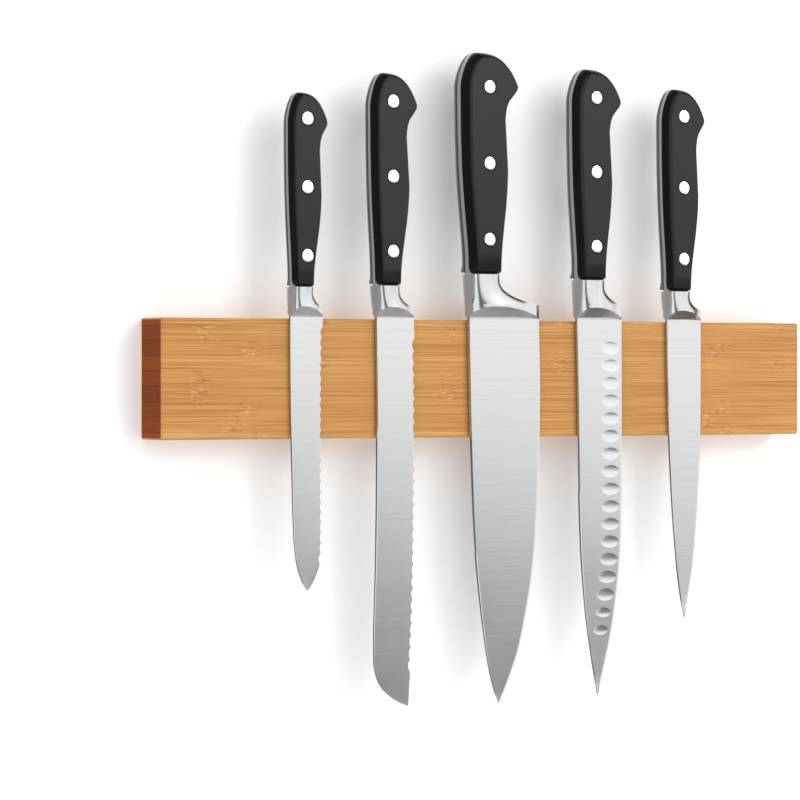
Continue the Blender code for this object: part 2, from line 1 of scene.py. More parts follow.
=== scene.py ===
# %% [markdown]
# # A magnetic knife strip of bamboo, with five forged knives
# The strip hangs on a kitchen wall. Magnets behind its front hold five knives by their blades, so
# each knife can be pulled straight off. The solid model of all of it is already made. Here it is
# loaded as a fixed frame, and the parts that the eye rests on are modelled again with finer shapes.

import json
import math
from dataclasses import dataclass

import bmesh
import bpy
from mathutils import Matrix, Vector

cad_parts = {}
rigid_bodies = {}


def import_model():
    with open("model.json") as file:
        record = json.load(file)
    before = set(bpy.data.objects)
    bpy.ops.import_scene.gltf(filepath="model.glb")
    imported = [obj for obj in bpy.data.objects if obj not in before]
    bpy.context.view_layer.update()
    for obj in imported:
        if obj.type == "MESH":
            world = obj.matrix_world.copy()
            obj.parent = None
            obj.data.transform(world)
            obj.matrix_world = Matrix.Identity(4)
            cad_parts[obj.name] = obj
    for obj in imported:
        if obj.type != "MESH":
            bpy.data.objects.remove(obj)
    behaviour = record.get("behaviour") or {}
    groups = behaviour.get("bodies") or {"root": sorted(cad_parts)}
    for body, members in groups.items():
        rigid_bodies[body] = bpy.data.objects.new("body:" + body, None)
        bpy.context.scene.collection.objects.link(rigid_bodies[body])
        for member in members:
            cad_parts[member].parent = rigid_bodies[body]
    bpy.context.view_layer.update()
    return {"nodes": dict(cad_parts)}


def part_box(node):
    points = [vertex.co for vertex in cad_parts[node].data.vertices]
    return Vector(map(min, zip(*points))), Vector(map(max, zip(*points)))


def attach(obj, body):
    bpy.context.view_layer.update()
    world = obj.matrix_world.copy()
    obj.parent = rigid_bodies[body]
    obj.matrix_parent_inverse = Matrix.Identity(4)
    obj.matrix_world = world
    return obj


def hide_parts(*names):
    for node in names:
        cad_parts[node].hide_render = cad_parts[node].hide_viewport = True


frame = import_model()
MM = 0.001

# %% [markdown]
# ## The camera
# The strip is seen from its left, level with its middle and from about two metres away. A long lens
# keeps the far end of the strip nearly as tall as the near end. The camera could be tilted to centre
# the knives, but then upright blades would lean, so the lens is shifted a little instead.

# %% Camera
camera_data = bpy.data.cameras.new("camera")
camera_data.lens = 181.57
camera_data.shift_y = -0.0266
camera = bpy.data.objects.new("camera", camera_data)
camera.location = (-1.2114, -1.7567, 0)
camera.rotation_euler = Vector((0.5524, 0.8336, 0)).to_track_quat("-Z", "Y").to_euler()
bpy.context.collection.objects.link(camera)
bpy.context.scene.camera = camera
print("camera to the strip, m:", round(camera.location.length, 2))

# %% [markdown]
# ## Wall, floor and light
# A white wall stands behind the strip and a pale floor below it. The wall only has to catch shadows
# for the view from the front, so it is shut out of everything else, and from behind it lets the view
# through to the back of the strip. One large soft light stands in front on the right and throws soft
# shadows to the left, and the even light of the room fills them. Polished steel shows what stands
# round it, and an even room alone would leave it flat. So dark cards, called flags, are put where only
# reflections find them: a low one on the right, which darkens the blades towards their points, one
# where the camera would be, and others at the sides, above and below.


# %% Wall and floor
def plain(name, colour, roughness):
    """A plain finish for what isn't part of the object."""
    made = bpy.data.materials.new(name)
    made.use_nodes = True
    shader = made.node_tree.nodes["Principled BSDF"]
    shader.inputs["Base Color"].default_value = (*colour, 1)
    shader.inputs["Roughness"].default_value = roughness
    return made


def sheet_of(name, size, location, turn, finish):
    """A flat stage sheet."""
    bpy.ops.object.select_all(action="DESELECT")
    bpy.ops.mesh.primitive_plane_add(size=size, location=location, rotation=turn)
    made = bpy.context.active_object
    made.name = name
    made.data.materials.append(finish)
    return made


FLOOR_Z = -0.42
wall_paint = plain("wall_paint", (0.97, 0.97, 0.97), 0.9)
floor_paint = plain("floor_paint", (0.86, 0.855, 0.85), 0.8)
wall = sheet_of("wall", 4, (0, 0.0006, FLOOR_Z + 2), (math.radians(90), 0, 0), wall_paint)
floor = sheet_of("floor", 6, (0, 0, FLOOR_Z), (0, 0, 0), floor_paint)
wall.visible_shadow = wall.visible_diffuse = wall.visible_glossy = False
wall.visible_transmission = floor.visible_glossy = False
tree = wall_paint.node_tree
see_through = tree.nodes.new("ShaderNodeBsdfTransparent")
choose = tree.nodes.new("ShaderNodeMixShader")
which_side = tree.nodes.new("ShaderNodeNewGeometry")
tree.links.new(which_side.outputs["Backfacing"], choose.inputs["Fac"])
tree.links.new(tree.nodes["Principled BSDF"].outputs[0], choose.inputs[1])
tree.links.new(see_through.outputs[0], choose.inputs[2])
tree.links.new(choose.outputs[0], tree.nodes["Material Output"].inputs["Surface"])
print("floor below the strip, m:", FLOOR_Z)


# %% Lights
def towards(azimuth, elevation):
    """The direction from the strip, in degrees: azimuth 0 is straight out from the wall."""
    a, e = math.radians(azimuth), math.radians(elevation)
    return Vector((math.sin(a) * math.cos(e), -math.cos(a) * math.cos(e), math.sin(e)))


def soft_light(name, azimuth, elevation, distance, size, power):
    """A rectangular area light that looks at the strip."""
    away = towards(azimuth, elevation)
    data = bpy.data.lights.new(name, "AREA")
    data.shape = "RECTANGLE"
    data.size, data.size_y = size
    data.energy = power
    light = bpy.data.objects.new(name, data)
    light.location = away * distance
    light.rotation_euler = (-away).to_track_quat("-Z", "Y").to_euler()
    bpy.context.collection.objects.link(light)


soft_light("key_light", 32, 26, 2.4, (1.2, 1.2), 13)
world = bpy.data.worlds.new("soft_room")
world.use_nodes = True
world.node_tree.nodes["Background"].inputs["Color"].default_value = (0.985, 0.99, 1, 1)
world.node_tree.nodes["Background"].inputs["Strength"].default_value = 1.2
bpy.context.scene.world = world
bpy.context.scene.view_settings.view_transform = "Standard"


# %% Flags
def flag(name, azimuths, elevations, distance, shade):
    """A dark card between two azimuths and two elevations, seen only in reflections."""
    finish = plain(name + "_cloth", (shade, shade, shade), 1)
    bpy.ops.object.select_all(action="DESELECT")
    bpy.ops.mesh.primitive_grid_add(x_subdivisions=12, y_subdivisions=1, size=1)
    card = bpy.context.active_object
    card.name = name
    for vertex in card.data.vertices:
        azimuth = azimuths[0] + (azimuths[1] - azimuths[0]) * (vertex.co.x + 0.5)
        elevation = elevations[0] + (elevations[1] - elevations[0]) * (vertex.co.y + 0.5)
        vertex.co = towards(azimuth, elevation) * distance
    card.data.materials.append(finish)
    card.visible_camera = card.visible_shadow = card.visible_diffuse = False


flag("low_flag", (5, 46), (-45, -5), 1.9, 0.13)
flag("camera_flag", (-16, 8), (-45, 40), 3.2, 0.15)
flag("left_flag", (-165, -62), (-60, 60), 2.4, 0.1)
flag("right_flag", (74, 112), (-60, 60), 2.4, 0.05)
flag("under_flag", (-180, 180), (-89, -50), 1.9, 0.5)
flag("over_flag", (-180, 180), (50, 89), 3.2, 0.04)
print("flags:", [o.name for o in bpy.data.objects if "flag" in o.name])

# %% [markdown]
# ## Writing a finish as sums
# Every finish below is a pattern worked out from a point's own place on the object. Node trees for
# that get long when each node is placed by hand. So one small class wraps a socket: adding or
# multiplying two of them adds the Math node and gives back its output. One method adds any other
# node. A number that is the same all over is set on the shader itself.


# %% A socket that takes sums
class Wire:
    """A node's output. Sums on it add Math nodes to its finish."""

    def __init__(self, finish, socket):
        self.finish = finish
        self.socket = socket

    def math(self, operation, first, second=0.0):
        return self.finish.add("ShaderNodeMath", {"operation": operation}, {0: first, 1: second})

    def __add__(self, other):
        return self.math("ADD", self, other)

    def __sub__(self, other):
        return self.math("SUBTRACT", self, other)

    def __rsub__(self, other):
        return self.math("SUBTRACT", other, self)

    def __mul__(self, other):
        return self.math("MULTIPLY", self, other)

    def __truediv__(self, other):
        return self.math("DIVIDE", self, other)

    def __abs__(self):
        return self.math("ABSOLUTE", self)

    def floor(self):
        return self.math("FLOOR", self)

    def round(self):
        return self.math("ROUND", self)

    __radd__ = __add__
    __rmul__ = __mul__


print("sums on a socket:", [name for name in vars(Wire) if name.startswith("__r") and name != "__repr__"])


# %% A finish
class Finish:
    """A material whose shader is fed by sums of sockets."""

    def __init__(self, name, **constants):
        self.material = bpy.data.materials.new(name)
        self.material.use_nodes = True
        self.tree = self.material.node_tree
        self.shader = self.tree.nodes["Principled BSDF"]
        for socket, value in constants.items():
            self.shader.inputs[socket.replace("_", " ")].default_value = value

    def add(self, kind, settings, inputs, output=0):
        """Adds a node: its settings first, then the values or links of its sockets."""
        node = self.tree.nodes.new(kind)
        for name, value in settings.items():
            if name == "stops":
                self.set_stops(node.color_ramp, value)
            else:
                setattr(node, name, value)
        for socket, value in inputs.items():
            if isinstance(value, Wire):
                self.tree.links.new(value.socket, node.inputs[socket])
            else:
                node.inputs[socket].default_value = value
        return Wire(self, node.outputs[output])

    @staticmethod
    def set_stops(ramp, stops):
        while len(ramp.elements) < len(stops):
            ramp.elements.new(0.5)
        for element, (position, colour) in zip(ramp.elements, stops):
            element.position = position
            element.color = (*colour, 1)

    def place(self):
        """A point's place on the object, in metres."""
        return self.add("ShaderNodeTexCoord", {}, {}, "Object")

    def stretched(self, scale, offset=(0, 0, 0)):
        """The place, scaled along each axis."""
        inputs = {"Vector": self.place(), "Scale": scale, "Location": offset}
        return self.add("ShaderNodeMapping", {}, inputs)

    def axis(self, name, vector=None):
        return self.add("ShaderNodeSeparateXYZ", {}, {0: vector or self.place()}, name)

    def noise(self, scale, detail=2.0, offset=(0, 0, 0)):
        """Noise from 0 to 1, with its own scale along each axis."""
        vector = self.stretched(scale, offset)
        return self.add("ShaderNodeTexNoise", {}, {"Vector": vector, "Scale": 1.0, "Detail": detail})

    def random(self, value):
        """A fixed random number for each value."""
        return self.add("ShaderNodeTexWhiteNoise", {"noise_dimensions": "1D"}, {"W": value})

    def between(self, value, low, high):
        """0 below low, 1 above high, and smooth in between. With low above high it falls."""
        return self.add(
            "ShaderNodeMapRange",
            {"interpolation_type": "SMOOTHSTEP"},
            {"Value": value, "From Min": low, "From Max": high},
        )

    def mix(self, amount, first, second):
        """A colour from first, at 0, to second, at 1."""
        first, second = [c if isinstance(c, Wire) else (*c, 1) for c in (first, second)]
        return self.add("ShaderNodeMix", {"data_type": "RGBA"}, {0: amount, 6: first, 7: second}, 2)

    def feed(self, **links):
        for socket, value in links.items():
            self.tree.links.new(value.socket, self.shader.inputs[socket.replace("_", " ")])

    def bump(self, height, depth, strength=1.0):
        """Raises the surface by height times depth, in metres."""
        inputs = {"Height": height, "Distance": depth, "Strength": strength}
        self.feed(Normal=self.add("ShaderNodeBump", {}, inputs))


def give(finish, *nodes):
    """Puts a finish on parts of the solid model."""
    for node in nodes:
        slots = frame["nodes"][node].data.materials
        slots.clear()
        slots.append(finish.material)


print("finishes can be written")

# %% [markdown]
# ## Bamboo
# The board is pressed from bamboo laths that lie flat on each other, each a little under 8 mm high.
# They were steamed, so they are honey coloured, and no two have the same tone. Along each lath run
# fine fibres, and every 15 cm or so there is a knot, where the fibres cross in short dark and light
# flecks. The sawn ends show the fibres end on, and oil sinks in there and turns them red brown.
# A picture could be wrapped round the board, but it would stop at the edges, so the laths, fibres and
# knots are worked out in space and the ends are picked out by the way that their faces point.

# %% Bamboo finish
LATH = 7.65 * MM
KNOT_SPACING = 150 * MM
HONEY = (0.52, 0.25, 0.070)
PALE_HONEY = (0.70, 0.385, 0.125)
DARK_FIBRE = (0.27, 0.098, 0.020)
WARM_LATH = (0.43, 0.185, 0.044)
KNOT_BROWN = (0.20, 0.07, 0.016)
KNOT_CREAM = (0.78, 0.50, 0.21)
END_RED = (0.27, 0.053, 0.002)
END_DARK = (0.19, 0.036, 0.001)
END_PORE = (0.29, 0.078, 0.014)
END_JOINT = (0.07, 0.015, 0.004)


def bamboo(name):
    finish = Finish(name, Specular_IOR_Level=0.22)
    x, z = finish.axis("X"), finish.axis("Z")
    lath = (z / LATH + 0.5).floor()
    tone = finish.random(lath + 3.7)
    wander = finish.random(lath * 1.7 + 21.3)
    broad = finish.noise((9, 9, 260), 2, (2, 0, 0))
    fibre = finish.noise((13, 200, 2300), 4)
    thread = finish.noise((26, 500, 3900), 3, (5, 1, 0))
    along = x / KNOT_SPACING + wander * 7
    from_knot = abs(along - along.round()) * KNOT_SPACING
    near_knot = finish.between(from_knot, 11 * MM, 1.5 * MM)
    fleck = finish.noise((260, 900, 1500), 2, (1, 4, 2))
    dark_fleck = finish.between(fleck, 0.60, 0.70) * near_knot
    pale_fleck = finish.between(fleck, 0.42, 0.30) * near_knot
    body = finish.mix(finish.between(fibre, 0.32, 0.66), DARK_FIBRE, PALE_HONEY)
    body = finish.mix(0.35, body, HONEY)
    body = finish.mix(finish.between(thread, 0.54, 0.70) * 0.55, body, DARK_FIBRE)
    body = finish.mix(finish.between(broad, 0.35, 0.75) * 0.25, body, PALE_HONEY)
    body = finish.mix(tone * 0.35, body, WARM_LATH)
    body = finish.mix(dark_fleck * 0.75, body, KNOT_BROWN)
    body = finish.mix(pale_fleck * 0.6, body, KNOT_CREAM)
    pores = finish.noise((900, 700, 900), 2, (0, 3, 1))
    sawn = finish.mix(tone, END_RED, END_DARK)
    sawn = finish.mix(finish.between(pores, 0.5, 0.68) * 0.3, sawn, END_PORE)
    edge_of_lath = finish.between(abs(z / LATH + 0.5 - lath - 0.5), 0.455, 0.49)
    sawn = finish.mix(edge_of_lath * 0.5, sawn, END_JOINT)
    facing = finish.add("ShaderNodeNewGeometry", {}, {}, "Normal")
    is_end = finish.between(abs(finish.axis("X", facing)), 0.8, 0.95)
    body = finish.mix(edge_of_lath * 0.12, body, DARK_FIBRE)
    finish.feed(Base_Color=finish.mix(is_end, body, sawn))
    finish.feed(Roughness=0.40 + fibre * 0.14 + is_end * 0.2)
    finish.bump(fibre * 0.6 + thread * 0.4 - dark_fleck * 0.5 - edge_of_lath * 0.3, 0.12 * MM, 0.6)
    return finish


give(bamboo("oiled_bamboo"), "bamboo_board")
give(bamboo("panel_bamboo"), "back_panel")
low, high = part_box("bamboo_board")
print("laths in the board:", round((high.z - low.z) / LATH, 1))

# %% [markdown]
# ## The knives' sizes
# Forged kitchen knives are one steel forging each: a blade, a thick bolster that balances it, and a
# tang as wide as the handle. The five differ only in their sizes, so one row of sizes for each knife
# and one recipe for all of them is less work than five models, and a change reaches all five. The
# widths of a handle are counted from the line of its rivets, and the outlines of a blade are shares
# of its length and of its width at the heel.

# %% One row of sizes for each knife


@dataclass
class Knife:
    """One knife's own sizes, in mm."""

    name: str
    blade_length: float
    heel_width: float
    heel_side: float
    spine: float
    bolster_height: float
    bolster: float
    heel_corner: float
    arch: float
    handle_length: float
    back: float
    ferrule_back: float
    ferrule_belly: float
    swell: float
    waist: float
    beak: float
    tang: float
    scale: float
    rounding: float
    slope: float
    spine_line: list
    edge_line: list
    teeth: tuple = ()


KNIVES = [
    Knife(
        "tomato", 139.3, 19.3, 7.3, 2.0, 15, 10.2, 4.6, 5.2, 98.8,
        9.1, 6.7, 5.3, 10.0, 9.0, 13.6, 2.0, 4.8, 2.2, 8,
        [(0, 0), (0.23, 0.01), (0.55, 0.065), (0.8, 0.124), (0.91, 0.228), (0.98, 0.43), (1, 0.56)],
        [(0, 1.02), (0.1, 1.005), (0.5, 0.99), (0.8, 0.99), (0.88, 0.96), (0.945, 0.81), (1, 0.56)],
        (5.1, 0.8, 0.04, 0.9),
    ),
    Knife(
        "bread", 200.5, 23.7, 6.8, 2.2, 16.3, 11.6, 4.9, 5.4, 109.5,
        10.7, 7.7, 6.5, 11.9, 10.2, 16.7, 2.2, 5.8, 2.6, 7,
        [(0, 0), (0.3, 0.034), (0.6, 0.009), (0.88, -0.05), (0.93, 0.05), (0.96, 0.22), (0.985, 0.53),
         (1, 0.82)],
        [(0, 0.996), (0.2, 1.03), (0.5, 1.02), (0.76, 0.97), (0.92, 0.89), (1, 0.85)],
        (6.2, 1.0, 0.055, 0.91),
    ),
    Knife(
        "chef", 201.5, 46, 8.6, 2.8, 23, 13.6, 7.3, 6.3, 115.8,
        14.1, 8.9, 9.6, 14.0, 12.4, 20.6, 2.9, 6.8, 3.0, 8.5,
        [(0, 0), (0.3, 0.033), (0.6, 0.102), (0.85, 0.241), (0.95, 0.337), (1, 0.425)],
        [(0, 0.99), (0.2, 1.006), (0.45, 0.976), (0.65, 0.907), (0.85, 0.724), (0.95, 0.55), (1, 0.435)],
    ),
    Knife(
        "carving", 200, 30.3, 8.7, 2.4, 20.8, 12.4, 7.5, 6.3, 112.2,
        12.2, 8.5, 8.1, 12.5, 10.9, 18.4, 2.6, 6.2, 3.1, 7.7,
        [(0, 0), (0.16, 0.03), (0.56, 0.092), (0.76, 0.195), (0.9, 0.335), (1, 0.47)],
        [(0, 1), (0.3, 1.003), (0.6, 0.985), (0.76, 0.868), (0.86, 0.736), (1, 0.485)],
    ),
    Knife(
        "utility", 160.8, 23.6, 7.4, 2.2, 15.5, 11.6, 5.0, 5.2, 109.2,
        11.2, 7.9, 6.7, 11.8, 10.4, 16.0, 2.2, 5.8, 2.9, 7,
        [(0, 0), (0.2, 0.025), (0.57, 0.148), (0.82, 0.297), (0.93, 0.41), (1, 0.525)],
        [(0, 1.005), (0.38, 0.99), (0.57, 0.94), (0.82, 0.78), (0.94, 0.62), (1, 0.54)],
    ),
]
HEEL_LINE = 31.5
GAP = 0.3


def middle_of(node):
    low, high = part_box(node)
    return (low + high) / 2 / MM


for knife in KNIVES:
    rivet = middle_of(knife.name + "_rivet_middle")
    knife.x, knife.y = rivet.x, rivet.y
    print(f"{knife.name}: rivets at x {knife.x:.1f}, middle plane at y {knife.y:.2f} mm")

# %% [markdown]
# ## A skin over rings
# A blade changes its section all the way from point to handle: a wedge, then a scoop, then a block,
# then a flat bar. A modeller would extrude a disc and push each new ring into the next section, and
# this helper does that: it adds a disc, lays its corners on the first ring of points, and extrudes it
# from ring to ring. The same helper makes a handle slab, with its rings stacked through the
# thickness, and whatever is turned, with round rings. Sizes are in mm until a point is laid.


# %% Skin helper
def new_edit(add, **settings):
    """Adds a primitive with nothing else selected, and opens it in edit mode."""
    bpy.ops.object.select_all(action="DESELECT")
    add(**settings)
    bpy.ops.object.mode_set(mode="EDIT")
    return bpy.context.active_object


def lay(piece, ring, before):
    """Moves the selected face's corners, which lie on the ring before, to the ring."""
    shape = bmesh.from_edit_mesh(piece.data)
    face = next(f for f in shape.faces if f.select)
    corners = [loop.vert for loop in face.loops]
    if before:
        first = min(range(len(corners)), key=lambda i: (corners[i].co - before[0]).length)
        corners = corners[first:] + corners[:first]
        if (corners[1].co - before[1]).length > (corners[-1].co - before[1]).length:
            corners = corners[:1] + corners[:0:-1]
    for corner, point in zip(corners, ring):
        corner.co = point
    bmesh.update_edit_mesh(piece.data)


def skinned(name, rings, *finishes):
    """A closed piece over rings of points in mm, made by extruding a disc from ring to ring."""
    rings = [[Vector(point) * MM for point in ring] for ring in rings]
    piece = new_edit(bpy.ops.mesh.primitive_circle_add, vertices=len(rings[0]), radius=MM, fill_type="NGON")
    piece.name = piece.data.name = name
    lay(piece, rings[0], None)
    for before, ring in zip(rings, rings[1:]):
        bpy.ops.mesh.extrude_region_move()
        lay(piece, ring, before)
    bpy.ops.mesh.select_all(action="SELECT")
    bpy.ops.mesh.normals_make_consistent(inside=False)
    bpy.ops.mesh.select_all(action="DESELECT")
    bpy.ops.object.mode_set(mode="OBJECT")
    for finish in finishes:
        piece.data.materials.append(finish.material)
    return piece


def turned(name, centre, profile, sides, *finishes):
    """A turned piece along Y through a centre, from (y from the centre, radius) points in mm."""
    angles = [2 * math.pi * i / sides for i in range(sides)]
    rings = []
    for y, radius in profile:
        flat = [(radius * math.cos(angle), radius * math.sin(angle)) for angle in angles]
        rings.append([(centre.x + x, centre.y + y, centre.z + z) for x, z in flat])
    return skinned(name, rings, *finishes)


print("rings can be skinned")


# %% Cutting
def only(piece):
    """Selects one piece and makes it active."""
    bpy.ops.object.select_all(action="DESELECT")
    piece.select_set(True)
    bpy.context.view_layer.objects.active = piece


def cut_away(piece, tool):
    """Subtracts a tool from a piece, and throws the tool away."""
    only(piece)
    modifier = piece.modifiers.new("cut", "BOOLEAN")
    modifier.operation, modifier.solver, modifier.object = "DIFFERENCE", "EXACT", tool
    modifier.material_mode = "TRANSFER"
    bpy.ops.object.modifier_apply(modifier=modifier.name)
    bpy.data.objects.remove(tool)


print("cuts can be made")


# %% Crisp and smooth edges
def keep_crisp(piece, lines):
    """Marks the edges along lines of points as sharp."""
    only(piece)
    bpy.ops.object.mode_set(mode="EDIT")
    bpy.ops.mesh.select_mode(type="EDGE")
    bpy.ops.mesh.select_all(action="DESELECT")
    shape = bmesh.from_edit_mesh(piece.data)

    def key(point):
        return tuple(round(c * 1e6) for c in point)

    lines = [[key(Vector(point) * MM) for point in line] for line in lines]
    wanted = {frozenset(pair) for line in lines for pair in zip(line, line[1:])}
    for edge in shape.edges:
        edge.select_set(frozenset(key(v.co) for v in edge.verts) in wanted)
    marked = sum(edge.select for edge in shape.edges)
    bmesh.update_edit_mesh(piece.data)
    bpy.ops.mesh.mark_sharp()
    bpy.ops.mesh.select_mode(type="FACE")
    bpy.ops.object.mode_set(mode="OBJECT")
    return marked


def keep_grinds_crisp(piece, slot):
    """Marks as sharp the edges where the finish in a slot begins."""
    only(piece)
    bpy.ops.object.mode_set(mode="EDIT")
    bpy.ops.mesh.select_mode(type="EDGE")
    bpy.ops.mesh.select_all(action="DESELECT")
    shape = bmesh.from_edit_mesh(piece.data)
    for edge in shape.edges:
        kinds = {face.material_index for face in edge.link_faces}
        edge.select_set(len(kinds) > 1 and slot in kinds)
    bmesh.update_edit_mesh(piece.data)
    bpy.ops.mesh.mark_sharp()
    bpy.ops.mesh.select_mode(type="FACE")
    bpy.ops.object.mode_set(mode="OBJECT")


def smooth(piece, degrees):
    """Smooth shading, apart from marked edges and those sharper than an angle."""
    only(piece)
    bpy.ops.object.shade_smooth_by_angle(angle=math.radians(degrees), keep_sharp_edges=True)


print("edges can be kept crisp")


# %% Smooth curves
def through(points):
    """A smooth curve through (position, value) points, as a function of the position."""
    slopes = []
    for i in range(len(points)):
        before, after = points[max(i - 1, 0)], points[min(i + 1, len(points) - 1)]
        slopes.append((after[1] - before[1]) / (after[0] - before[0]))

    def value(at):
        at = min(max(at, points[0][0]), points[-1][0])
        i = max(k for k in range(len(points) - 1) if points[k][0] <= at)
        (x0, y0), (x1, y1) = points[i], points[i + 1]
        t = (at - x0) / (x1 - x0)
        rise = (x1 - x0) * (slopes[i] * t * (1 - t) ** 2 - slopes[i + 1] * t**2 * (1 - t))
        return y0 + (y1 - y0) * t * t * (3 - 2 * t) + rise

    return value


print("half way from 0 to 1:", through([(0, 0), (1, 1)])(0.5))

# %% [markdown]
# ## Steel finishes
# The blades are ground across their width on a belt, which leaves fine straight lines and spreads a
# mirrored light up and down. The bolsters and the rivets are polished and show the room more clearly.
# Real steel isn't one tone either: the lines lie in faint bands, and a hand has left it a little
# uneven. So the lines are noise drawn out along X, and they feed the colour, the roughness and a
# very shallow bump.


# %% Steel
def steel(name, colour, rough, lines, line_scale, depth, metallic=1.0):
    finish = Finish(name, Metallic=metallic)
    fine = finish.noise(line_scale, 3)
    bands = finish.noise(tuple(s * 0.12 for s in line_scale), 2, (3, 1, 2))
    cloud = finish.noise((28, 28, 28), 3, (1, 2, 0))
    light, dark = [tuple(c * k for c in colour) for k in (1 + lines, 1 - lines)]
    tone = finish.between(fine * 0.6 + bands * 0.4, 0.3, 0.7)
    roughness = rough + (fine - 0.5) * 0.10 + (cloud - 0.5) * 0.06
    finish.feed(Base_Color=finish.mix(tone, dark, light), Roughness=roughness)
    finish.bump(fine, depth)
    return finish


ground_steel = steel("ground_steel", (0.68, 0.68, 0.675), 0.25, 0.036, (14, 14, 6400), 0.0004 * MM)
bolster_steel = steel("bolster_steel", (0.66, 0.66, 0.655), 0.2, 0.05, (2200, 300, 40), 0.0006 * MM)
tang_steel = steel("tang_steel", (0.44, 0.44, 0.435), 0.38, 0.05, (700, 700, 60), 0.001 * MM, 0.45)
hollow_steel = steel("hollow_steel", (0.74, 0.74, 0.735), 0.18, 0.03, (60, 60, 4600), 0.0004 * MM)
edge_steel = steel("edge_steel", (0.80, 0.80, 0.79), 0.2, 0.03, (2600, 400, 60), 0.001 * MM)
rivet_steel = steel("rivet_steel", (0.95, 0.95, 0.945), 0.16, 0.02, (900, 900, 900), 0.0008 * MM)
print("steels:", [finish.name for finish in bpy.data.materials if finish.name.endswith("_steel")])

# %% [markdown]
# ## The forgings
# Each forging is skinned over rings from the point up. The blade is a wedge with an eased spine and a
# narrow bevel at its edge. At the heel a grinding wheel has left a scoop, which slopes up off the
# blade's face, and where it meets the swelling bolster it draws an arch. The rings of the scoop rise
# with that arch, so that its line comes out sharp however the bolster swells. A Boolean with a round
# wheel would cut the same line, but it would meet the blade's face nearly flush and fray.

# %% Sections of a blade
SPINE_EASE = 0.35
EASED_SHARE = 0.72
POINT_THICKNESS = 0.8
POINT_WIDTH = 0.5
EDGE_BEVEL = 1.1
BEHIND_EDGE = 0.3
EDGE_HALF = 0.08
THIN_SHARE = 0.7
TOOTHED_BEHIND_EDGE = 0.36
TOOTHED_EDGE_HALF = 0.3
BLADE_U = [0, 0.02, 0.07, 0.16, 0.27, 0.40, 0.53, 0.66, 0.78, 0.88, 0.97, 1]
BLADE_RINGS = 46
CROWDING = 1.5


def ring_at(knife, points):
    """A ring round the forging: (x, z, half thickness) points along its front and back along its back."""
    front = [(x, knife.y - half, z) for x, z, half in points]
    return front + [(x, knife.y + half, z) for x, z, half in points[::-1]]


def blade_outline(knife, share):
    """The spine's and the edge's x at a share of the blade's length."""
    left = knife.x - knife.heel_side + knife.heel_width * through(knife.spine_line)(share)
    right = knife.x - knife.heel_side + knife.heel_width * through(knife.edge_line)(share)
    return left, max(right, left + POINT_WIDTH)


def wedge(knife, share, width):
    """Shares across the blade and the half thickness at each."""
    spine = (knife.spine - (knife.spine - POINT_THICKNESS) * share**2) / 2
    ease, bevel = min(SPINE_EASE / width, 0.06), min(EDGE_BEVEL / width, 0.3)
    behind, edge = min(BEHIND_EDGE, spine * THIN_SHARE), EDGE_HALF
    if knife.teeth:
        behind, edge = TOOTHED_BEHIND_EDGE, TOOTHED_EDGE_HALF
    across = [0, ease] + [ease + (1 - bevel - ease) * u for u in BLADE_U[2:-2]] + [1 - bevel, 1]
    halves = [spine * EASED_SHARE] + [
        spine + (behind - spine) * (u - ease) / (1 - bevel - ease) for u in across[1:-1]
    ] + [edge]
    return list(zip(across, halves))


def blade_rings(knife):
    for i in range(BLADE_RINGS, -1, -1):
        share = 1 - (1 - i / BLADE_RINGS) ** CROWDING
        left, right = blade_outline(knife, share)
        z = HEEL_LINE - share * knife.blade_length
        yield [(left + u * (right - left), z, half) for u, half in wedge(knife, share, right - left)]


print("rings of a blade:", BLADE_RINGS + 1)

# %% [markdown]
# ## The bolster
# The bolster is the thick collar between blade and handle, which balances the knife. In its lower part
# the scoop stands off the blade's face in a short hollow and then a straight slope, up to the arch.
# From there the section changes ring by ring from the heel's to the one under the handle, while the
# belly side sweeps in. Both sections are rows of pairs: a share across the forging, and a share of the
# bolster's depth at the heel or of its thickness under the handle. A subdivided block could be pulled
# into this shape too, but its arch and its two end sections would have to be found by eye.

# %% Sections of a bolster
HEEL = [(0, 0.12), (0.01, 0.24), (0.04, 0.6), (0.12, 0.95), (0.25, 1), (0.4, 1),
        (0.53, 0), (0.65, 0), (0.76, 0.5), (0.85, 0.42), (0.93, 0.36), (1, 0.03)]
FERRULE = [(0, 0.28), (0.012, 0.62), (0.05, 0.86), (0.12, 0.96), (0.25, 1), (0.4, 1), (0.53, 1),
           (0.66, 0.985), (0.78, 0.95), (0.88, 0.86), (0.955, 0.68), (1, 0.34)]
ARCH = through([(0, 0.34), (0.05, 0.66), (0.1, 0.85), (0.2, 0.98), (0.32, 1), (0.45, 0.96),
                (0.65, 0.79), (0.8, 0.55), (0.9, 0.33), (1, 0.06)])
SCOOP_FOOT = 0.05
SCOOP_RINGS = 9
BOLSTER_RINGS = 16
BOLSTER_CROWDING = 1.4
BLEND_POWER = 0.8
BELLY_POWER = 3.1
LEAST_RISE = 0.04


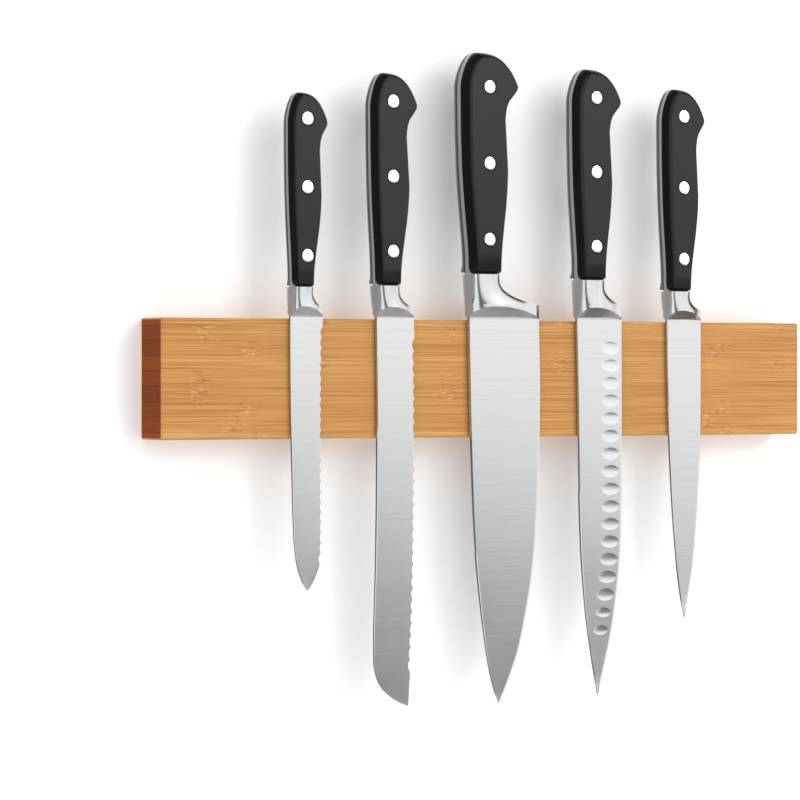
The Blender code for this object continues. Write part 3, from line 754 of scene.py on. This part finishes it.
def bolster_rings(knife):
    """The scoop up to its arch, then the bolster, whose belly side curves in to the handle."""
    low, high = knife.x - knife.heel_side, knife.x - knife.ferrule_back
    heel, ferrule = blade_outline(knife, 0)[1], knife.x + knife.ferrule_belly
    full = knife.bolster / 2
    blade = wedge(knife, 0, heel - low)
    deep = full - blade[4][1]

    def left(z):
        return low + (high - low) * (z - HEEL_LINE) / knife.bolster_height

    def scooped(rise):
        """How far the scoop stands off the blade's face: a short hollow, then a straight slope."""
        return deep * (rise - SCOOP_FOOT * (1 - math.exp(-rise / SCOOP_FOOT)))

    for step in range(1, SCOOP_RINGS + 1):
        t = (step / SCOOP_RINGS) ** CROWDING
        ring = []
        for (u, half), (heel_u, least) in zip(blade, HEEL):
            across = u + (heel_u - u) * t
            rise = t * ARCH(across)
            z = HEEL_LINE + rise * knife.arch
            stand = scooped(rise) + max(deep * least - scooped(ARCH(heel_u)), 0) * t
            ring.append((left(z) + across * (heel - left(z)), z, half + stand))
        yield ring
    arch = ring
    drop = knife.bolster_height - knife.heel_corner
    for step in range(BOLSTER_RINGS + 1):
        down = 1 - (step / BOLSTER_RINGS) ** BOLSTER_CROWDING
        z = HEEL_LINE + knife.bolster_height - drop * down
        right = ferrule + (heel - ferrule) * down**BELLY_POWER
        blend = (step / BOLSTER_RINGS) ** BLEND_POWER
        before, ring = ring, []
        for (heel_u, _), (top_u, top_half), (_, _, heel_half), below in zip(HEEL, FERRULE, arch, before):
            across = heel_u + (top_u - heel_u) * blend
            half = heel_half + (top_half * full - heel_half) * blend
            ring.append((left(z) + across * (right - left(z)), max(z, below[1] + LEAST_RISE), half))
        yield ring


print("rings of a bolster:", SCOOP_RINGS + BOLSTER_RINGS + 1)

# %% [markdown]
# ## The handle's outline
# Seen from the front a handle swells in the palm, narrows to a waist and ends in a hooked butt, so
# that it can't slide out of the hand. The tang and both slabs share this outline. It is worked out
# once, as the x of its spine side and of its belly side at each share of the handle's length, and the
# butt's crown is two curves that meet at the top. A drawn curve could be traced instead, but then each
# of the five handles would need its own.

# %% Sections of a handle
TANG_RINGS = 34
CROWN_TURNS = (9, 18, 27, 36, 45, 54, 62, 69, 75, 80, 84.5)
SWELL_AT = 0.47
WAIST_AT = 0.7
BEAK_AT = 0.85
CROWN = 0.27
CROWN_BACK = (1.35, 0.5)
CROWN_BEAK = (1.1, 0.36)
SPINE_SIDE = through([(0, 0), (0.1, 0.07), (0.2, 0.27), (0.3, 0.5), (0.4, 0.7), (0.5, 0.84),
                      (0.65, 0.96), (0.8, 1)])
BELLY_SWELL = through([(0, 0), (0.1, 0.12), (0.2, 0.4), (0.3, 0.72), (0.4, 0.94), (0.47, 1)])
BEAK_CURVE = through([(0, 0), (0.35, 0.12), (0.55, 0.34), (0.72, 0.7), (0.85, 0.92), (1, 1)])


def handle_sides(knife, share):
    """x of the handle's spine side and belly side at a share of its length."""
    top = -CROWN * knife.back
    if share > BEAK_AT:
        rise = (share - BEAK_AT) / (1 - BEAK_AT)
        back, beak = [(1 - rise**power) ** root for power, root in (CROWN_BACK, CROWN_BEAK)]
        return knife.x + top - (knife.back + top) * back, knife.x + top + (knife.beak - top) * beak
    spine = knife.x - knife.ferrule_back - (knife.back - knife.ferrule_back) * SPINE_SIDE(share)
    if share > WAIST_AT:
        grown = BEAK_CURVE((share - WAIST_AT) / (BEAK_AT - WAIST_AT))
        return spine, knife.x + knife.waist + (knife.beak - knife.waist) * grown
    if share > SWELL_AT:
        middle = ((SWELL_AT + WAIST_AT) / 2, (knife.swell + knife.waist) / 2)
        waist = through([(SWELL_AT, knife.swell), middle, (WAIST_AT, knife.waist)])
        return spine, knife.x + waist(share)
    return spine, knife.x + knife.ferrule_belly + (knife.swell - knife.ferrule_belly) * BELLY_SWELL(share)


def handle_shares():
    """Heights up the handle, crowded towards the crown."""
    lower = [BEAK_AT * i / TANG_RINGS for i in range(TANG_RINGS + 1)]
    turns = [math.radians(angle) for angle in CROWN_TURNS]
    return lower + [BEAK_AT + (1 - BEAK_AT) * math.sin(turn) for turn in turns]


def handle_bottom(knife):
    return HEEL_LINE + knife.bolster_height


def tang_rings(knife):
    for share in handle_shares():
        left, right = handle_sides(knife, share)
        z = handle_bottom(knife) + max(share * knife.handle_length, 0.1)
        yield [(left + u * (right - left), z, knife.tang / 2) for u, _ in FERRULE]


print("rings of a handle:", len(handle_shares()))

# %% [markdown]
# ## Teeth and hollows
# The tomato knife and the bread knife have a row of shallow scallops ground into the edge from the
# front, so that the points between them bite first. One toothed bar, leaning the way that the grinding
# wheel leaned, cuts the whole row at once. The carving knife has oval hollows on both faces, which let
# air between blade and slice. They are cut with a row of flattened balls, each tilted to lie on the
# blade's sloping face. The bar and the balls carry the bright finish of a fresh grind, and the Boolean
# leaves it on what they cut.

# %% Tooth bar
TOOTH_STEPS = 10
TOOTH_LEAN = 0.8
TOOTH_BITE = 0.12
TOOTH_BAR_WIDTH = 9
TOOTH_BAR_REACH = 2.5


def tooth_bar(knife):
    """A bar beyond the edge whose near side is scalloped, leaning so that it bites deeper in front."""
    length, depth, start, end = knife.teeth
    count = round((end - start) * knife.blade_length / length)
    step = (end - start) / count
    wave = []
    for i in range(count * TOOTH_STEPS + 1):
        share = start + step * i / TOOTH_STEPS
        across = 2 * (i % TOOTH_STEPS) / TOOTH_STEPS - 1
        inward = depth * (1 - across**2)
        x = blade_outline(knife, share)[1] - inward - TOOTH_BITE
        wave.append((x, HEEL_LINE - share * knife.blade_length))
    right = max(x for x, _ in wave) + TOOTH_BAR_WIDTH
    outline = wave + [(right, wave[-1][1] - 0.01), (right, wave[0][1] + 0.01)]
    rings = []
    for away in (-TOOTH_BAR_REACH, TOOTH_BAR_REACH):
        rings.append([(x + away * TOOTH_LEAN, knife.y + away, z) for x, z in outline])
    return skinned("tooth_bar", rings, edge_steel)


print("teeth:", {knife.name: knife.teeth[0] for knife in KNIVES if knife.teeth}, "mm apart")


# %% Balls for the hollows
HOLLOWS = 17
SMALL_HOLLOWS = 2
SMALLER = 0.8
FIRST_HOLLOW = {-1: 16.4, 1: 11.7}
HOLLOW_SPACING = 9.4
HOLLOW_SIZE = (12.1, 6.7)
HOLLOW_DEPTH = 0.15
HOLLOW_FROM_EDGE = 7.7


def hollow_balls(knife):
    """Flattened balls whose caps are the hollows of both faces."""
    balls = []
    swell = HOLLOW_DEPTH * 4
    part = math.sqrt(1 - ((swell - HOLLOW_DEPTH) / swell) ** 2)
    for side, first in FIRST_HOLLOW.items():
        for i in range(HOLLOWS):
            z = first - i * HOLLOW_SPACING
            share = (HEEL_LINE - z) / knife.blade_length
            left, right = blade_outline(knife, share)
            x = right - HOLLOW_FROM_EDGE
            profile = wedge(knife, share, right - left)
            (near, thick), (far, thin) = profile[1], profile[-2]
            slope = (thick - thin) / ((far - near) * (right - left))
            half = thin + slope * (HOLLOW_FROM_EDGE - (1 - far) * (right - left))
            size = Vector((HOLLOW_SIZE[0] / 2 / part, 0, HOLLOW_SIZE[1] / 2 / part))
            size *= 1 if i < HOLLOWS - SMALL_HOLLOWS else SMALLER
            size.y = swell
            bpy.ops.object.select_all(action="DESELECT")
            bpy.ops.mesh.primitive_uv_sphere_add(
                segments=28, ring_count=18, radius=1,
                location=Vector((x, knife.y + side * (half + swell - HOLLOW_DEPTH), z)) * MM,
                rotation=(0, 0, -side * math.atan(slope)),
                scale=size * MM,
            )
            balls.append(bpy.context.active_object)
    only(balls[0])
    for ball in balls:
        ball.select_set(True)
    bpy.ops.object.join()
    joined = bpy.context.active_object
    joined.data.materials.append(hollow_steel.material)
    return joined


print("hollows in each face:", HOLLOWS)


# %% Rivet holes
RIVET_RADIUS = 3.5
RIVET_RING = 0.42
DRILL_REACH = 9
ROUND_SIDES = 40


def rivet_holes(knife):
    """The tools that drill a forging or a slab for its three rivets."""
    radius = RIVET_RADIUS + RIVET_RING
    drills = []
    for name in ("top", "middle", "bottom"):
        at = middle_of(f"{knife.name}_rivet_{name}")
        drills.append(turned("drill", at, [(-DRILL_REACH, radius), (DRILL_REACH, radius)], ROUND_SIDES))
    only(drills[0])
    for drill in drills:
        drill.select_set(True)
    bpy.ops.object.join()
    return bpy.context.active_object


print("rivet holes, mm across:", 2 * (RIVET_RADIUS + RIVET_RING))


# %% Forge the five blades
BELLY_CRISP_RINGS = 12
TANG_SLOT = 2
GRIND_SLOT = 3
SMOOTH_UP_TO = 50


def forging(knife):
    """One forging: blade, bolster and tang. Above the heel its spine side is as matt as the tang."""
    rings = [*blade_rings(knife), *bolster_rings(knife), *tang_rings(knife)]
    round_it = [ring_at(knife, ring) for ring in rings]
    piece = skinned(knife.name + "_forging", round_it, ground_steel, bolster_steel, tang_steel)
    arch = rings[BLADE_RINGS + SCOOP_RINGS]
    lines = []
    for side in (-1, 1):
        lines.append([(x, knife.y + side * half, z) for x, z, half in arch])
        lines.append([(x, knife.y + side * half, z) for x, z, half in rings[BLADE_RINGS]])
        for column in (1, -2):
            until = BLADE_RINGS + SCOOP_RINGS + (BELLY_CRISP_RINGS if column == -2 else 1)
            points = [ring[column] for ring in rings[:until]]
            lines.append([(x, knife.y + side * half, z) for x, z, half in points])
    marked = keep_crisp(piece, lines)
    for face in piece.data.polygons:
        above = [face.center.z > height * MM for height in (HEEL_LINE, handle_bottom(knife))]
        face.material_index = TANG_SLOT if above[0] and face.normal.x < -0.8 else sum(above)
    if knife.teeth:
        cut_away(piece, tooth_bar(knife))
    if knife.name == "carving":
        cut_away(piece, hollow_balls(knife))
    cut_away(piece, rivet_holes(knife))
    keep_grinds_crisp(piece, GRIND_SLOT)
    smooth(piece, SMOOTH_UP_TO)
    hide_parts(knife.name + "_blade")
    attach(piece, knife.name + "_knife")
    print(f"{piece.name}: {len(piece.data.polygons)} faces, {marked} crisp edges")
    return piece


for knife in KNIVES:
    forging(knife)

# %% [markdown]
# ## Handle slabs
# Two slabs of black moulded plastic are riveted to each tang. Seen from the front a slab is flat, with
# a rim that rolls over to its sides, a hooked butt and a lower end that slopes down to the bolster.
# Its outline is the tang's, so the rings are that outline again and again through the thickness, each
# moved further in. Where the outline turns tightly, at the beak, a ring may only move in as far as
# the turn allows, or it would cross itself.

# %% Slab outline and rings
RIM_TURNS = [math.radians(angle) for angle in (10, 22, 34, 45, 56, 67, 78)]
LOWER_CORNER = {"front": 3.5, "back": 1.2}
ROOM_SHARE = 0.6
ROOM_SLOPE = 0.35
ROOM_REACH = 6
LEAST_SPREAD = 0.7


def slab_outline(knife, corner):
    """(x, z) points up the spine side and down the belly side, with a rounded lower corner."""
    low = handle_bottom(knife) + GAP
    shares = handle_shares()
    heights = [max(handle_bottom(knife) + share * knife.handle_length, low) for share in shares]
    sides = [(*handle_sides(knife, share), z) for share, z in zip(shares, heights)]
    start = sides[0][0]
    turns = [math.radians(angle) for angle in (90, 75, 60, 45, 30, 15)]
    points = [(start + corner * (1 - math.cos(t)), low + corner * (1 - math.sin(t))) for t in turns]
    clear = [side for side in sides if side[2] > low + corner]
    points += [(left, z) for left, _, z in clear] + [(right, z) for _, right, z in clear[::-1]]
    return [Vector(p) for p in [*points, (sides[0][1], low)]]


def moved_in(points, distance):
    """The outline moved in by a distance, or less where it turns tightly."""
    count = len(points)
    rooms = []
    for i, here in enumerate(points):
        first, second = here - points[i - 1], points[(i + 1) % count] - here
        bend = first.angle_signed(second)
        whole = (first + second).length
        radius = whole / (2 * math.sin(bend)) if 0.01 < bend < 1 else math.inf
        rooms.append(min(distance, ROOM_SHARE * radius))
    moved = []
    for i, here in enumerate(points):
        near = [(i + k) % count for k in range(-ROOM_REACH, ROOM_REACH + 1)]
        room = min(rooms[k] + ROOM_SLOPE * (here - points[k]).length for k in near)
        first = (here - points[i - 1]).normalized()
        second = (points[(i + 1) % count] - here).normalized()
        normal = Vector((first.y + second.y, -first.x - second.x)).normalized()
        spread = max(normal.dot(Vector((second.y, -second.x))), LEAST_SPREAD)
        moved.append(here + normal * min(room, distance) / spread)
    return moved


# %% Black plastic
def black_plastic():
    """Moulded plastic, with the slightest mottle of a fine mould and rub marks from hands."""
    finish = Finish("black_plastic", Specular_IOR_Level=0.36)
    mottle = finish.noise((1500, 1500, 1500), 2)
    rub = finish.noise((60, 60, 22), 3, (2, 3, 1))
    finish.feed(Base_Color=finish.mix(rub, (0.0035, 0.0035, 0.0038), (0.0065, 0.0065, 0.007)))
    finish.feed(Roughness=0.25 + rub * 0.08 + mottle * 0.04)
    finish.bump(mottle, 0.01 * MM, 0.5)
    return finish


black = black_plastic()


# %% Make the ten slabs
def slab(knife, side):
    """One slab: flat inside, rolled over outside, sloped at its lower end."""
    away = -1 if side == "front" else 1
    outline = slab_outline(knife, LOWER_CORNER[side])
    floor, top = knife.tang / 2 + 0.05, knife.tang / 2 + knife.scale
    rings = []
    first, last = RIM_TURNS[0], RIM_TURNS[-1]
    for turn in RIM_TURNS:
        inward = knife.rounding * (math.cos(first) - math.cos(turn)) / (math.cos(first) - math.cos(last))
        depth = (math.sin(turn) - math.sin(first)) / (math.sin(last) - math.sin(first))
        y = knife.y + away * (floor + (top - floor) * depth)
        rings.append([(p.x, y, p.y) for p in moved_in(outline, inward)])
    piece = skinned(f"{knife.name}_slab_{side}", rings, black)
    low = handle_bottom(knife) + GAP
    start = Vector((0, knife.y + away * knife.bolster / 2, low)) * MM
    end = Vector((0, knife.y + away * top, low + knife.slope)) * MM
    bpy.ops.object.mode_set(mode="EDIT")
    bpy.ops.mesh.select_all(action="SELECT")
    outside = Vector((1, 0, 0)).cross(end - start) * -away
    bpy.ops.mesh.bisect(plane_co=start, plane_no=outside, use_fill=True, clear_outer=True, threshold=1e-7)
    bpy.ops.mesh.select_all(action="SELECT")
    bpy.ops.mesh.normals_make_consistent(inside=False)
    bpy.ops.object.mode_set(mode="OBJECT")
    cut_away(piece, rivet_holes(knife))
    smooth(piece, 21)
    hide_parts(f"{knife.name}_scale_{side}")
    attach(piece, knife.name + "_knife")
    return piece


for knife in KNIVES:
    made = [slab(knife, side) for side in ("front", "back")]
    print(f"{knife.name}: {len(made)} slabs, {len(made[0].data.polygons)} faces each")

# %% [markdown]
# ## Rivets
# Three steel rivets hold the slabs on each tang. Their heads are ground flush with the slabs and
# polished, and a hairline of shadow runs round each. One turned profile makes all fifteen: a shank
# between two heads, each head eased at its rim and very slightly domed, so that it never mirrors the
# room as one flat patch.

# %% Make the rivets
RIVET_HEAD = [(0, 0.26), (0.02, 0.64), (0.07, 0.88), (0.14, 0.965), (0.3, 0.993), (0.5, 1),
              (2.2, 1), (2.2, 0.68)]


def rivet(knife, name):
    node = f"{knife.name}_rivet_{name}"
    centre = middle_of(node)
    reach = knife.tang / 2 + knife.scale
    profile = [(-reach + down, RIVET_RADIUS * part) for down, part in RIVET_HEAD]
    profile += [(reach - down, RIVET_RADIUS * part) for down, part in RIVET_HEAD[::-1]]
    piece = turned(node.replace("rivet", "head"), centre, profile, ROUND_SIDES, rivet_steel)
    smooth(piece, 35)
    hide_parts(node)
    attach(piece, knife.name + "_knife")


for knife in KNIVES:
    for name in ("top", "middle", "bottom"):
        rivet(knife, name)
print("rivets:", 3 * len(KNIVES))

# %% [markdown]
# ## Hanging plates, magnets and screws
# Two zinc-plated plates with keyholes hang the strip on wall screws, and a thin panel keeps the
# magnets and their steel bar in their channel. The solid model already has the right shapes for the
# plates, the bar and the magnets, so they only need their metals. The screws are modelled again: a
# countersunk head with a cross recess, a core and a row of ridges for the thread. A true spiral
# could be spun, but it is buried in the wood, and rings are lighter. One screw is modelled and
# copied.

# %% Metals of the fittings
zinc = steel("zinc_plating", (0.60, 0.61, 0.63), 0.36, 0.10, (260, 260, 260), 0.004 * MM)
rolled = steel("rolled_steel", (0.30, 0.30, 0.31), 0.42, 0.12, (60, 900, 900), 0.006 * MM)
nickel = steel("nickel_plating", (0.66, 0.63, 0.58), 0.24, 0.04, (1200, 1200, 1200), 0.002 * MM)
screw_metal = steel("screw_plating", (0.62, 0.62, 0.60), 0.3, 0.06, (500, 500, 500), 0.003 * MM)
give(zinc, "hanger_plate_left", "hanger_plate_right")
give(rolled, "steel_keeper")
give(nickel, *[f"magnet_{i}" for i in range(1, 9)])
print("fittings:", [finish.material.name for finish in (zinc, rolled, nickel, screw_metal)])

# %% One screw
SCREW_NODES = [f"panel_screw_{i}" for i in range(1, 5)]
for side in ("left", "right"):
    SCREW_NODES += [f"hanger_screw_{side}_{height}" for height in ("upper", "lower")]
THREAD_TOP = -2.6
THREAD_PITCH = 1.1
THREAD_TURNS = 5


def wood_screw(head):
    """A countersunk screw along Y, with the middle of its head's face at a point in mm."""
    profile = [(-0.30, 0.9), (-0.31, 2.3), (-0.36, 2.75), (-0.50, 3.0), (-0.66, 2.95), (-2.1, 1.3)]
    for turn in range(THREAD_TURNS):
        down = THREAD_TOP - THREAD_PITCH * turn
        profile += [(down, 0.95), (down - THREAD_PITCH / 2, 1.3)]
    profile += [(-8.4, 0.9), (-10.9, 0.2)]
    piece = turned("wood_screw", head, profile, 32, screw_metal)
    recess = []
    for y, arm, half in ((0.5, 1.75, 0.36), (-0.6, 1.55, 0.34), (-1.9, 0.5, 0.18)):
        corner = [(arm, -half), (arm, half), (half, half)]
        cross = []
        for turn in range(4):
            for x, z in corner:
                for _ in range(turn):
                    x, z = -z, x
                cross.append((head.x + x, head.y + y, head.z + z))
        recess.append(cross)
    cut_away(piece, skinned("cross_tool", recess, screw_metal))
    smooth(piece, 30)
    return piece


# %% Copy it to its eight places
def head_of(node):
    low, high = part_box(node)
    return Vector(((low.x + high.x) / 2, high.y, (low.z + high.z) / 2)) / MM


first_screw = wood_screw(head_of(SCREW_NODES[0]))
for node in SCREW_NODES:
    only(first_screw)
    bpy.ops.object.duplicate()
    screw = bpy.context.active_object
    bpy.ops.transform.translate(value=(head_of(node) - head_of(SCREW_NODES[0])) * MM)
    bpy.ops.object.transform_apply(location=True, rotation=False, scale=False)
    screw.name = screw.data.name = node.replace("screw", "woodscrew")
    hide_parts(node)
    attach(screw, "strip")
bpy.data.objects.remove(first_screw)
print("screws:", len(SCREW_NODES), "with", len(screw.data.polygons), "faces each")

# %% [markdown]
# ## The end
